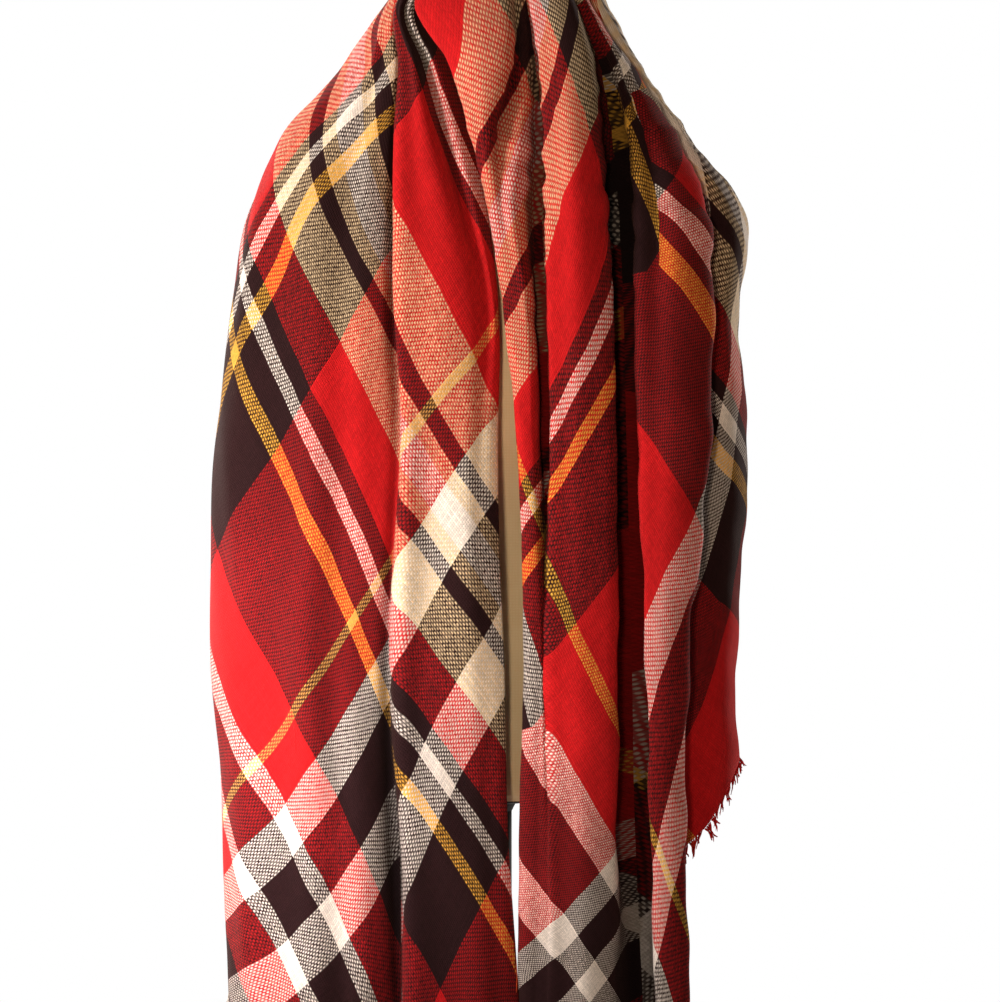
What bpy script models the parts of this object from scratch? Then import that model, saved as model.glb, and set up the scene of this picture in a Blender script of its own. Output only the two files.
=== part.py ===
"""Tartan blanket scarf, draped on the bias over a limbless dress form on a pole stand.

Metres, +Z up, the front faces -Y. The origin is on the floor, under the middle of the part's box.
"""
import math
import random

import bpy
import bmesh
import numpy as np

# ---------------------------------------------------------------- driving dimensions
MM = 0.001
NECK_TOP = 1.500          # height of the scarf's top edge above the floor
FORM_X = 0.0154           # the form stands this far right of the middle of the spread cloth
CLOTH_THICKNESS = 0.0020  # brushed acrylic twill
SEAM_GAP = 0.0006         # clearance between two stretches of the cloth
CLOTH_ROWS = 25           # rows of faces from the neck to the hem
ROW_SPREAD = 1.05         # power that sets the rows closer together at the neck
KNOT_POWER = 0.6          # power of the chord that spaces the knots round a row

FRINGE_GAP = 0.0013       # clearance between the hem and the band that the strands hang from
BAND_DEPTH = 0.003
STRAND_LENGTH = 0.014
STRAND_WIDTH = 0.0026
STRAND_PITCH = 0.019

CAP_TOP = 1.530
CAP_RADIUS = 0.050
FLANGE_RADIUS = 0.034     # the pole's plate under the torso
FLANGE_DEPTH = 0.004
POLE_RADIUS = 0.0095
BASE_RADIUS = 0.165
BASE_HEIGHT = 0.022
TOUCH = 0.0003            # clearance where two pieces of the stand meet

# Drop below the top edge, in millimetres, of the stations in the two tables below.
X_DROPS = (0, 47, 94, 150, 213, 276, 402, 559, 717, 843)
FRONT_DROPS = (0, 94, 213, 402, 717)

# The lines that run down the cloth along its folds, in order round the part from the left tail's
# inner edge, over the back, to the right tail's inner edge. Millimetres from the form's axis:
# name, distance to the right at X_DROPS, distance to the front at FRONT_DROPS, drop of the hem,
# columns of faces to the next line.
FOLD_LINES = (
    ("left_tuck",         (-22, -57, -38, -20, -14, -14, -20, -16, -9, -5), (50, 64, 95, 106, 102), 1052, 2),
    ("left_edge",         (-28, -68, -44, -26, -11, -1, -4, 2, 6, 12), (49, 72, 102, 117, 114), 1063, 2),
    ("left_roll",         (-33, -72, -54, -37, -20, -6, -8, -2, 2, 7), (46, 79, 112, 122, 119), 1058, 1),
    ("left_groove",       (-38, -76, -60, -46, -29, -13, -16, -10, -6, 0), (43, 73, 106, 125, 122), 1052, 3),
    ("left_red_crest",    (-43, -79, -69, -60, -47, -38, -38, -41, -35, -31), (41, 87, 120, 131, 128), 1024, 3),
    ("left_red_brow",     (-49, -82, -78, -79, -80, -80, -72, -77, -72, -69), (38, 80, 116, 128, 127), 986, 1),
    ("left_step",         (-54, -85, -80, -82, -83, -84, -79, -87, -81, -77), (34, 62, 99, 121, 110), 981, 3),
    ("left_panel_inner",  (-58, -88, -90, -102, -109, -112, -110, -117, -112, -109), (27, 60, 100, 122, 121), 945, 4),
    ("left_panel_middle", (-61, -91, -104, -136, -157, -157, -159, -164, -159, -157), (18, 50, 86, 112, 114), 896, 3),
    ("left_panel_outer",  (-63, -94, -119, -161, -189, -196, -206, -207, -198, -194), (9, 32, 58, 80, 88), 860, 2),
    ("left_side",         (-65, -98, -131, -177, -203, -213, -229, -230, -220, -216), (-2, 8, 18, 30, 46), 839, 3),
    ("left_flank",        (-63, -94, -125, -169, -195, -202, -215, -215, -206, -201), (-18, -22, -28, -24, -16), 818, 3),
    ("left_seam",         (-56, -82, -107, -147, -173, -182, -192, -190, -182, -178), (-32, -46, -60, -64, -62), 832, 5),
    ("back_left",         (-42, -49, -68, -88, -109, -117, -124, -124, -121, -120), (-47, -72, -104, -112, -116), 925, 8),
    ("back_middle",       (0, 0, -2, -3, -5, -6, -8, -9, -9, -9), (-60, -84, -116, -128, -136), 698, 8),
    ("back_right",        (42, 52, 65, 79, 102, 104, 106, 102, 101, 101), (-47, -72, -104, -116, -124), 660, 5),
    ("right_flank_back",  (58, 80, 99, 126, 164, 161, 162, 156, 155, 154), (-32, -44, -62, -70, -70), 664, 3),
    ("right_flank",       (65, 88, 113, 149, 191, 187, 190, 183, 184, 183), (-14, -18, -22, -20, -12), 648, 2),
    ("right_side",        (66, 91, 116, 154, 199, 192, 198, 189, 190, 190), (2, 4, 22, 40, 48), 650, 2),
    ("right_wing",        (64, 86, 113, 149, 181, 179, 179, 172, 171, 170), (12, 20, 52, 74, 76), 692, 2),
    ("right_wing_root",   (60, 74, 101, 128, 153, 156, 151, 139, 135, 137), (20, 24, 48, 73, 78), 732, 2),
    ("right_tuck_root",   (56, 72, 102, 131, 150, 153, 148, 132, 129, 132), (29, 36, 62, 88, 92), 844, 2),
    ("right_return",      (58, 73, 104, 135, 157, 160, 156, 140, 137, 140), (32, 41, 73, 99, 102), 851, 1),
    ("right_outer_edge",  (60, 74, 106, 139, 164, 167, 164, 148, 145, 149), (36, 46, 84, 110, 112), 858, 2),
    ("right_outer_crest", (57, 72, 99, 123, 137, 137, 135, 128, 131, 135), (42, 62, 104, 126, 122), 890, 2),
    ("right_outer_brow",  (52, 69, 91, 102, 106, 106, 108, 113, 118, 123), (48, 70, 104, 118, 118), 921, 1),
    ("right_valley",      (45, 66, 85, 93, 96, 98, 101, 104, 106, 112), (52, 70, 90, 102, 100), 935, 1),
    ("right_main_lee",    (37, 57, 71, 77, 83, 87, 90, 92, 91, 88), (60, 92, 112, 122, 118), 953, 2),
    ("right_main_crest",  (27, 41, 49, 54, 57, 59, 61, 63, 65, 65), (65, 104, 130, 134, 132), 988, 2),
    ("right_main_brow",   (18, 25, 33, 36, 38, 39, 42, 41, 47, 49), (65, 96, 118, 125, 128), 1009, 1),
    ("right_cleft",       (12, 20, 26, 31, 31, 33, 37, 36, 41, 41), (64, 84, 98, 104, 126), 1017, 2),
    ("right_inner_crest", (7, 16, 17, 15, 9, 19, 26, 32, 35, 35), (64, 86, 122, 127, 124), 1024, 1),
    ("throat_groove",     (2, 12, 13, 0, 2, 13, 23, 30, 30, 28), (64, 84, 120, 128, 122), 1027, 1),
    ("throat_lee",        (-5, 7, 8, -5, -2, 9, 20, 27, 25, 24), (67, 98, 120, 128, 122), 1030, 2),
    ("throat_crest",      (-26, -33, -16, -13, -6, 5, 17, 23, 20, 19), (67, 104, 119, 127, 120), 1033, 2),
    ("right_edge",        (-45, -67, -41, -24, -9, 1, 14, 19, 17, 15), (58, 90, 114, 122, 114), 1036, 2),
    ("right_tuck",        (-32, -54, -24, -8, 4, 16, 25, 31, 33, 31), (56, 82, 100, 108, 102), 1028, 0),
)
LINE_NAMES = [line[0] for line in FOLD_LINES]

# The stretches of the one square of cloth: node, its first and last fold line.
STRETCHES = (
    ("left_tail", "left_tuck", "left_seam"),
    ("back_cape", "left_seam", "right_return"),
    ("right_tail", "right_return", "right_tuck"),
)

# Folds that open towards the hem of the back: the fold line they start from, place in columns of
# faces after it, half width in columns, depth at the hem in millimetres (outwards above zero).
BACK_FOLDS = (
    ("left_side", 2.6, 1.3, 9),
    ("left_flank", 1.8, 1.2, -9),
    ("left_seam", 2.4, 1.5, 15),
    ("back_left", -0.4, 1.5, -15),
    ("back_left", 2.6, 1.6, 20),
    ("back_left", 5.4, 1.5, -16),
    ("back_middle", 0.2, 1.7, 15),
    ("back_middle", 3.0, 1.6, -17),
    ("back_middle", 5.8, 1.6, 21),
    ("back_right", 0.6, 1.4, -15),
    ("back_right", 3.4, 1.4, 13),
    ("right_flank_back", 0.6, 1.2, -11),
    ("right_flank_back", 2.4, 1.1, 8),
)
BACK_FOLD_GROWTH = 0.9    # power of the way down that a fold's depth grows with

# Rings of the form: height, half width, front and back depth, all in millimetres.
FORM_RINGS = (
    (1500, 60, 52.2, 58.3),
    (1480, 60, 52.2, 58.3),
    (1453, 68, 56, 64),
    (1406, 94, 63, 76),
    (1350, 129, 74, 86),
    (1288, 161, 86, 89),
    (1230, 167, 92, 90),
    (1160, 162, 94, 86),
    (1100, 148, 86, 80),
    (1020, 126, 72, 72),
    (960, 138, 76, 80),
    (880, 161, 84, 92),
    (834, 166, 84, 94),
    (820, 160, 78, 88),
)
FORM_SIDES = 32
CAP_FOOT = FORM_RINGS[0][0] * MM + TOUCH
POLE_TOP = FORM_RINGS[-1][0] * MM - TOUCH
POLE_FOOT = BASE_HEIGHT + TOUCH

# Turned profiles: radius, height.
CAP_PROFILE = (
    (0.0, CAP_TOP),
    (0.030, CAP_TOP - 0.001),
    (0.044, CAP_TOP - 0.006),
    (CAP_RADIUS, CAP_TOP - 0.016),
    (CAP_RADIUS, CAP_FOOT),
    (0.0, CAP_FOOT),
)
POLE_PROFILE = (
    (0.0, POLE_TOP),
    (FLANGE_RADIUS, POLE_TOP),
    (FLANGE_RADIUS, POLE_TOP - FLANGE_DEPTH),
    (POLE_RADIUS + 0.003, POLE_TOP - FLANGE_DEPTH - 0.003),
    (POLE_RADIUS, POLE_TOP - FLANGE_DEPTH - 0.009),
    (POLE_RADIUS, POLE_FOOT),
    (0.0, POLE_FOOT),
)
BASE_PROFILE = (
    (0.0, BASE_HEIGHT),
    (0.100, BASE_HEIGHT),
    (0.150, 0.016),
    (0.162, 0.011),
    (BASE_RADIUS, 0.005),
    (BASE_RADIUS, 0.0),
    (0.0, 0.0),
)


# ---------------------------------------------------------------- scene and materials
def clear_scene():
    for old in list(bpy.data.objects):
        bpy.data.objects.remove(old, do_unlink=True)


def new_material(name, colour, roughness, metallic=0.0):
    material = bpy.data.materials.new(name)
    material.use_nodes = True
    shader = material.node_tree.nodes["Principled BSDF"]
    shader.inputs["Base Color"].default_value = (*colour, 1.0)
    shader.inputs["Roughness"].default_value = roughness
    shader.inputs["Metallic"].default_value = metallic
    return material


def add_object(name, mesh, material, collection):
    thing = bpy.data.objects.new(name, mesh)
    mesh.materials.append(material)
    collection.objects.link(thing)
    return thing


def mesh_from(name, points, faces):
    mesh = bpy.data.meshes.new(name)
    mesh.from_pydata([tuple(point) for point in points], [], faces)
    mesh.validate()
    return mesh


# ---------------------------------------------------------------- the drape
def unit(vectors):
    return vectors / np.linalg.norm(vectors, axis=-1, keepdims=True)


def curve_through(knots, points, where):
    """Smooth curve through the points at growing knots, read at each place in where."""
    knots = np.asarray(knots, float)
    points = np.asarray(points, float)
    gaps = np.diff(knots)
    slopes = np.diff(points, axis=0) / gaps.reshape(-1, *[1] * (points.ndim - 1))
    tangents = np.empty_like(points)
    tangents[0] = slopes[0]
    tangents[-1] = slopes[-1]
    for i in range(1, len(knots) - 1):
        tangents[i] = (gaps[i] * slopes[i - 1] + gaps[i - 1] * slopes[i]) / (gaps[i - 1] + gaps[i])
    read = []
    for place in np.clip(where, knots[0], knots[-1]):
        i = min(int(np.searchsorted(knots, place, side="right")) - 1, len(gaps) - 1)
        t = (place - knots[i]) / gaps[i]
        start = (1 + 2 * t) * (1 - t) ** 2 * points[i] + t * (1 - t) ** 2 * gaps[i] * tangents[i]
        end = t * t * (3 - 2 * t) * points[i + 1] + t * t * (t - 1) * gaps[i] * tangents[i + 1]
        read.append(start + end)
    return np.array(read)


def fold_line_points(line, shares):
    """Points down one fold line, at shares of the way from the neck to the hem."""
    _, across, front, hem, _ = line
    drops = np.asarray(shares) * hem
    x = curve_through(X_DROPS, across, drops)
    y = curve_through(FRONT_DROPS, front, drops)
    return np.stack([FORM_X + x * MM, -y * MM, NECK_TOP - drops * MM], axis=1)


def first_column(name):
    """Column of faces, counted round the whole cloth, at which a fold line lies."""
    return sum(line[4] for line in FOLD_LINES[:LINE_NAMES.index(name)])


def back_fold_depth(column, share):
    depth = 0.0
    for name, offset, half_width, at_hem in BACK_FOLDS:
        away = (column - first_column(name) - offset) / half_width
        depth += at_hem * MM * share ** BACK_FOLD_GROWTH * math.exp(-away * away)
    return depth


def drape_grid():
    """Rows of points over the whole cloth, from the top edge to the hem."""
    shares = np.linspace(0.0, 1.0, CLOTH_ROWS + 1) ** ROW_SPREAD
    lines = np.array([fold_line_points(line, shares) for line in FOLD_LINES])
    rows = []
    for r, share in enumerate(shares):
        points = lines[:, r]
        spans = np.linalg.norm(np.diff(points, axis=0), axis=1) ** KNOT_POWER
        knots = np.concatenate([[0.0], np.cumsum(spans)])
        places = []
        for i, line in enumerate(FOLD_LINES[:-1]):
            places += [knots[i] + spans[i] * step / line[4] for step in range(line[4])]
        places.append(knots[-1])
        row = curve_through(knots, points, places)
        outward = row - np.array([FORM_X, 0.0, 0.0])
        outward[:, 2] = 0.0
        outward = unit(outward)
        depths = np.array([back_fold_depth(c, share) for c in range(len(row))])
        rows.append(row + outward * depths[:, None])
    return np.array(rows)


def stretch_grid(grid, first, last):
    """The grid of one stretch, drawn back from its seams by half the clearance."""
    part = grid[:, first_column(first):first_column(last) + 1].copy()
    for edge, inner, name in ((0, 1, first), (-1, -2, last)):
        if name in (LINE_NAMES[0], LINE_NAMES[-1]):
            continue
        part[:, edge] += unit(part[:, inner] - part[:, edge]) * SEAM_GAP / 2
    return part


def add_cloth(name, grid, material, collection):
    rows, columns, _ = grid.shape
    faces = [(r * columns + c, r * columns + c + 1, (r + 1) * columns + c + 1, (r + 1) * columns + c)
             for r in range(rows - 1) for c in range(columns - 1)]
    mesh = mesh_from(name, grid.reshape(-1, 3), faces)
    mesh.shade_smooth()
    cloth = add_object(name, mesh, material, collection)
    wall = cloth.modifiers.new("wall", "SOLIDIFY")
    wall.thickness = CLOTH_THICKNESS
    wall.offset = 0.0
    return cloth


# ---------------------------------------------------------------- the fringe
def band_stations(grid):
    """Where the band's ends, corners and strands lie along the hem: (hem column, is a strand)."""
    hem = grid[-1]
    stations = [(0.0, False)]
    for c in range(len(hem) - 1):
        length = np.linalg.norm(hem[c + 1] - hem[c])
        strands = max(1, round(length / STRAND_PITCH)) if length > 2 * STRAND_WIDTH else 0
        half = STRAND_WIDTH / 2 / length
        for k in range(strands):
            middle = (k + 0.5) / strands
            stations += [(c + middle - half, True), (c + middle + half, False)]
        stations.append((c + 1.0, False))
    return stations


def add_fringe(name, grid, material, collection, rng):
    """A narrow band that follows the hem, with the strands drawn out of its lower side."""
    hem = grid[-1]
    along = unit(np.gradient(hem, axis=0))
    down = unit(hem - grid[-2])
    across = unit(down - along * np.sum(down * along, axis=1)[:, None])
    down[1:-1] = across[1:-1]
    normal = unit(np.cross(along, down))
    stations = band_stations(grid)
    columns = np.arange(len(hem))
    mesh = bmesh.new()

    def at(values, place):
        return np.array([np.interp(place, columns, values[:, axis]) for axis in range(3)])

    rings = []
    for place, _ in stations:
        point, fall, out = at(hem, place), at(down, place), at(normal, place)
        top = point + fall * FRINGE_GAP
        bottom = top + fall * BAND_DEPTH
        side = out / np.linalg.norm(out) * CLOTH_THICKNESS / 2
        rings.append([mesh.verts.new(p) for p in (top + side, bottom + side, bottom - side, top - side)])
    for (place, is_strand), ring, following in zip(stations, rings, rings[1:]):
        for i in range(4):
            corners = (ring[i], ring[(i + 1) % 4], following[(i + 1) % 4], following[i])
            if i == 1 and is_strand:
                root = at(hem, place)
                lean = np.array([rng.uniform(-0.2, 0.2), rng.uniform(-0.15, 0.15), -rng.uniform(0.0, 0.5)])
                reach = at(down, place) + lean
                reach *= STRAND_LENGTH * rng.uniform(0.75, 1.0) / np.linalg.norm(reach)
                tip = mesh.verts.new(root + at(down, place) * BAND_DEPTH + reach)
                for k in range(4):
                    mesh.faces.new((corners[k], corners[(k + 1) % 4], tip))
            else:
                mesh.faces.new(corners)
    mesh.faces.new(reversed(rings[0]))
    mesh.faces.new(rings[-1])
    bmesh.ops.recalc_face_normals(mesh, faces=mesh.faces)
    finished = bpy.data.meshes.new(name)
    mesh.to_mesh(finished)
    mesh.free()
    return add_object(name, finished, material, collection)


# ---------------------------------------------------------------- the dress form
def add_torso(material, collection):
    """Smooth limbless torso: a loft through oval rings, closed flat at the neck and the hip."""
    heights = np.array([ring[0] for ring in FORM_RINGS], float)
    fine = np.linspace(0, len(heights) - 1, 2 * len(heights) - 1)
    sizes = curve_through(range(len(FORM_RINGS)), FORM_RINGS, fine)
    mesh = bmesh.new()
    rings = []
    for height, half_width, front, back in sizes * MM:
        ring = []
        for side in range(FORM_SIDES):
            angle = 2 * math.pi * side / FORM_SIDES
            depth = front if math.sin(angle) < 0 else back
            ring.append(mesh.verts.new((FORM_X + half_width * math.cos(angle), depth * math.sin(angle), height)))
        rings.append(ring)
    for upper, lower in zip(rings, rings[1:]):
        for i in range(FORM_SIDES):
            j = (i + 1) % FORM_SIDES
            mesh.faces.new((upper[i], lower[i], lower[j], upper[j]))
    mesh.faces.new(rings[0])
    mesh.faces.new(reversed(rings[-1]))
    finished = bpy.data.meshes.new("form_torso")
    mesh.to_mesh(finished)
    mesh.free()
    finished.shade_smooth()
    return add_object("form_torso", finished, material, collection)


def add_turned(name, profile, sides, material, collection):
    """A turned piece on the form's axis, its profile given from the top to the bottom."""
    mesh = mesh_from(name, [(radius, 0.0, height) for radius, height in profile], [])
    mesh.edges.add(len(profile) - 1)
    for i, edge in enumerate(mesh.edges):
        edge.vertices = (i, i + 1)
    piece = add_object(name, mesh, material, collection)
    piece.location.x = FORM_X
    lathe = piece.modifiers.new("lathe", "SCREW")
    lathe.steps = sides
    lathe.render_steps = sides
    lathe.use_merge_vertices = True
    lathe.merge_threshold = 0.0001
    return piece


def main():
    clear_scene()
    rng = random.Random(7)
    collection = bpy.data.collections.new("tartan_blanket_scarf_on_form")
    bpy.context.scene.collection.children.link(collection)
    tartan = new_material("tartan_cloth", (0.36, 0.03, 0.03), 0.9)
    yarn = new_material("fringe_yarn", (0.42, 0.04, 0.035), 0.95)
    linen = new_material("linen_cover", (0.72, 0.58, 0.40), 0.85)
    wood = new_material("walnut_cap", (0.16, 0.08, 0.04), 0.45)
    steel = new_material("black_steel", (0.02, 0.02, 0.02), 0.4, 0.6)

    grid = drape_grid()
    for name, first, last in STRETCHES:
        part = stretch_grid(grid, first, last)
        add_cloth(name, part, tartan, collection)
        add_fringe(name + "_fringe", part, yarn, collection, rng)
    add_torso(linen, collection)
    add_turned("neck_cap", CAP_PROFILE, 28, wood, collection)
    add_turned("pole", POLE_PROFILE, 20, steel, collection)
    add_turned("base", BASE_PROFILE, 40, steel, collection)


main()
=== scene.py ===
"""Looks of a tartan blanket scarf, draped on the bias over a limbless dress form on a pole stand.

Metres, +Z up, the front faces -Y. The cloth is one sheet that runs down a set of given fold
lines. Its tartan follows stripe courses that are charted on a front view of the drape.
"""

import math

import bpy
import bmesh
import numpy as np
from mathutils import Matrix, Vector


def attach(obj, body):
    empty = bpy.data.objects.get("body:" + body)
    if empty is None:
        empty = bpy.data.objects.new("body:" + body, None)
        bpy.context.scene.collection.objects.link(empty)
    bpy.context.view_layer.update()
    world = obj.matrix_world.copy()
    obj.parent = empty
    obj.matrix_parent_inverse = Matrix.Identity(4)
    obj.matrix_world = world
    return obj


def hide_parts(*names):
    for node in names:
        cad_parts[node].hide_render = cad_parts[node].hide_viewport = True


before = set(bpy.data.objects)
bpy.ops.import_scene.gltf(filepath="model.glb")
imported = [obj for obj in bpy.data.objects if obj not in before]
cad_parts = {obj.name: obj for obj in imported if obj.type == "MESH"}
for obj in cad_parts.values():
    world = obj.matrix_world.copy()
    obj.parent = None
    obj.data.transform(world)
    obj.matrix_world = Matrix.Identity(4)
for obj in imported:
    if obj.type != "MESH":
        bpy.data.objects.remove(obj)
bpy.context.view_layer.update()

# ---------------------------------------------------------------- sizes
# Metres, but millimetres in names and tables that say so.
MM = 0.001
NECK_TOP = 1.500            # height of the scarf's top edge above the floor
FORM_X = 0.0154             # the form stands this far right of the middle of the spread cloth
KNOT_POWER = 0.6            # power of the chord that spaces the knots round a row
ROW_SPREAD = 1.05           # power that sets the rows closer together at the neck
CLOTH_THICKNESS = 0.0018
CLOTH_ROWS = 210            # rows of faces from the neck to the hem
FINER = 4                   # columns of faces for each step of a fold line

GROOVE_STEPS = 6            # width of the grooves whose cloth colour is darkened as painted shade
GROOVE_DEPTH = 0.012
GROOVE_SHADE = 0.28         # brightness of the painted shade left at the bottom of such a groove

YARN_PITCH = 1.65           # millimetres between yarns: coarser than real, so that the weave shows
THREAD_LENGTH = 0.012       # eyelash fringe
THREAD_PITCH = 0.0021
THREAD_RADIUS = 0.0011
THREADS_IN_TUFT = 4
HELD_LENGTH = 0.0015        # length of a thread that the hem holds
STRAND_TURN = 2.1           # radians from side to side of a three-sided thread
STRAND_TWIST = 0.6          # and from ring to ring along it
LOOSE_ENDS = 7              # long yarns worked loose from the left tail's inner edge
LOOSE_DROPS = (0.775, 0.812)    # below the scarf's top edge
LOOSE_RADIUS = 0.0007
LOOSE_GAP = 0.0016          # from the middle of the cloth's wall

CHART_UNIT = MM / 1.27      # the front chart's unit
CHART_MIDDLE = (500, 501)   # the middle of the camera's view on that chart
CHART_TOP = -60             # the scarf's top edge on it
FRONT_PLANE = -0.10         # y of the front of the folds
CAMERA_DISTANCE = 3.2       # from that plane
CAMERA_HEIGHT = NECK_TOP - (CHART_MIDDLE[1] - CHART_TOP) * CHART_UNIT
FLOOR_RADIUS = 2.3

# ---------------------------------------------------------------- the drape's tables
# Drop below the top edge, in millimetres, of the stations in the table of fold lines.
X_DROPS = (0, 47, 94, 150, 213, 276, 402, 559, 717, 843)
FRONT_DROPS = (0, 94, 213, 402, 717)

# The lines that run down the cloth along its folds, in order round the part from the left tail's
# inner edge, over the back, to the right tail's inner edge. Millimetres from the form's axis:
# name, distance to the right at X_DROPS, distance to the front at FRONT_DROPS, drop of the hem,
# steps to the next line.
FOLD_LINES = (
    ("left_tuck", (-22, -57, -38, -20, -14, -14, -20, -16, -8, -2),
     (50, 64, 95, 106, 102), 1052, 2),
    ("left_edge", (-28, -68, -44, -26, -11, -1, -4, 2, 7, 15.3),
     (49, 72, 102, 117, 114), 1063, 2),
    ("left_roll", (-33, -72, -54, -37, -20, -6, -8, -2, 3, 9),
     (46, 79, 112, 122, 119), 1058, 1),
    ("left_groove", (-38, -76, -60, -46, -29, -13, -16, -10, -6, 0),
     (43, 73, 106, 125, 122), 1052, 3),
    ("left_red_crest", (-43, -79, -69, -60, -47, -38, -38, -41, -35, -31),
     (41, 87, 120, 131, 128), 1024, 3),
    ("left_red_brow", (-49, -82, -78, -79, -80, -80, -72, -77, -72, -69),
     (38, 80, 116, 128, 127), 986, 1),
    ("left_step", (-54, -85, -80, -82, -83, -84, -79, -87, -81, -77),
     (34, 62, 99, 121, 110), 981, 3),
    ("left_panel_inner", (-58, -88, -90, -102, -109, -112, -110, -117, -112, -109),
     (27, 60, 100, 122, 121), 945, 4),
    ("left_panel_middle", (-61, -91, -104, -136, -157, -157, -159, -164, -159, -157),
     (18, 50, 86, 112, 114), 896, 3),
    ("left_panel_outer", (-63, -94, -119, -161, -189, -196, -206, -207, -198, -194),
     (9, 32, 58, 80, 88), 860, 2),
    ("left_side", (-65, -98, -131, -177, -203, -213, -229, -230, -220, -216),
     (-2, 8, 18, 30, 46), 839, 3),
    ("left_flank", (-63, -94, -125, -169, -195, -202, -215, -215, -206, -201),
     (-18, -22, -28, -24, -16), 818, 3),
    ("left_seam", (-56, -82, -107, -147, -173, -182, -192, -190, -182, -178),
     (-32, -46, -60, -64, -62), 832, 5),
    ("back_left", (-42, -49, -68, -88, -109, -117, -124, -124, -121, -120),
     (-47, -72, -104, -112, -116), 925, 8),
    ("back_middle", (0, 0, -2, -3, -5, -6, -8, -9, -9, -9),
     (-60, -84, -116, -128, -136), 698, 8),
    ("back_right", (42, 52, 65, 79, 102, 104, 106, 102, 101, 101),
     (-47, -72, -104, -116, -124), 660, 5),
    ("right_flank_back", (58, 80, 99, 126, 164, 161, 162, 156, 155, 154),
     (-32, -44, -62, -70, -70), 664, 3),
    ("right_flank", (65, 88, 113, 149, 191, 187, 190, 183, 184, 183),
     (-14, -18, -22, -20, -12), 648, 2),
    ("right_side", (66, 91, 116, 154, 199, 192, 198, 189, 190, 190),
     (2, 4, 22, 40, 48), 650, 2),
    ("right_wing", (64, 86, 113, 149, 181, 179, 179, 172, 171, 170),
     (12, 20, 52, 74, 76), 692, 2),
    ("right_wing_root", (60, 74, 101, 128, 153, 156, 151, 139, 135, 137),
     (20, 24, 48, 73, 78), 732, 2),
    ("right_tuck_root", (56, 72, 102, 131, 150, 153, 148, 132, 129, 132),
     (29, 36, 62, 88, 92), 844, 2),
    ("right_return", (58, 73, 104, 135, 157, 160, 156, 140, 137, 140),
     (32, 41, 73, 99, 102), 851, 1),
    ("right_outer_edge", (60, 74, 106, 139, 164, 167, 164, 148, 145, 149),
     (36, 46, 84, 110, 112), 858, 2),
    ("right_outer_crest", (57, 72, 99, 123, 137, 137, 135, 128, 131, 135),
     (42, 62, 104, 126, 122), 890, 2),
    ("right_outer_brow", (52, 69, 91, 102, 106, 106, 108, 113, 118, 123),
     (48, 70, 104, 118, 118), 921, 1),
    ("right_valley", (45, 66, 85, 93, 96, 98, 101, 104, 106, 112),
     (52, 70, 90, 102, 100), 935, 1),
    ("right_main_lee", (37, 57, 71, 77, 83, 87, 90, 92, 91, 88),
     (60, 92, 112, 122, 118), 953, 2),
    ("right_main_crest", (27, 41, 49, 54, 57, 59, 61, 63, 65, 65),
     (65, 104, 130, 134, 132), 988, 2),
    ("right_main_brow", (18, 25, 33, 36, 38, 39, 42, 41, 47, 49),
     (65, 96, 118, 125, 128), 1009, 1),
    ("right_cleft", (12, 20, 26, 31, 31, 33, 37, 36, 41, 41),
     (64, 84, 98, 104, 126), 1017, 2),
    ("right_inner_crest", (7, 16, 17, 15, 9, 19, 26, 32, 35, 35),
     (64, 86, 122, 127, 124), 1024, 1),
    ("throat_groove", (2, 12, 13, 0, 2, 13, 23, 30, 30, 28),
     (64, 84, 120, 128, 122), 1027, 1),
    ("throat_lee", (-5, 7, 8, -5, -2, 9, 20, 27, 25, 24),
     (67, 98, 120, 128, 122), 1030, 2),
    ("throat_crest", (-26, -33, -16, -13, -6, 5, 17, 23, 19, 19),
     (67, 104, 119, 127, 120), 1033, 2),
    ("right_edge", (-45, -67, -41, -24, -9, 1, 14, 19, 15.5, 15.3),
     (58, 90, 114, 122, 114), 1036, 2),
    ("right_tuck", (-32, -54, -24, -8, 4, 16, 25, 31, 33, 31),
     (56, 82, 100, 108, 102), 1028, 0),
)
LINE_NAMES = [line[0] for line in FOLD_LINES]

# Folds that open towards the hem of the back: the fold line they start from, place in steps
# after it, half width in steps, depth at the hem in millimetres (outwards above zero).
BACK_FOLDS = (
    ("left_side", 2.6, 1.3, 9),
    ("left_flank", 1.8, 1.2, -9),
    ("left_seam", 2.4, 1.5, 15),
    ("back_left", -0.4, 1.5, -15),
    ("back_left", 2.6, 1.6, 20),
    ("back_left", 5.4, 1.5, -16),
    ("back_middle", 0.2, 1.7, 15),
    ("back_middle", 3.0, 1.6, -17),
    ("back_middle", 5.8, 1.6, 21),
    ("back_right", 0.6, 1.4, -15),
    ("back_right", 3.4, 1.4, 13),
    ("right_flank_back", 0.6, 1.2, -11),
    ("right_flank_back", 2.4, 1.1, 8),
)
BACK_FOLD_GROWTH = 0.9

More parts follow.
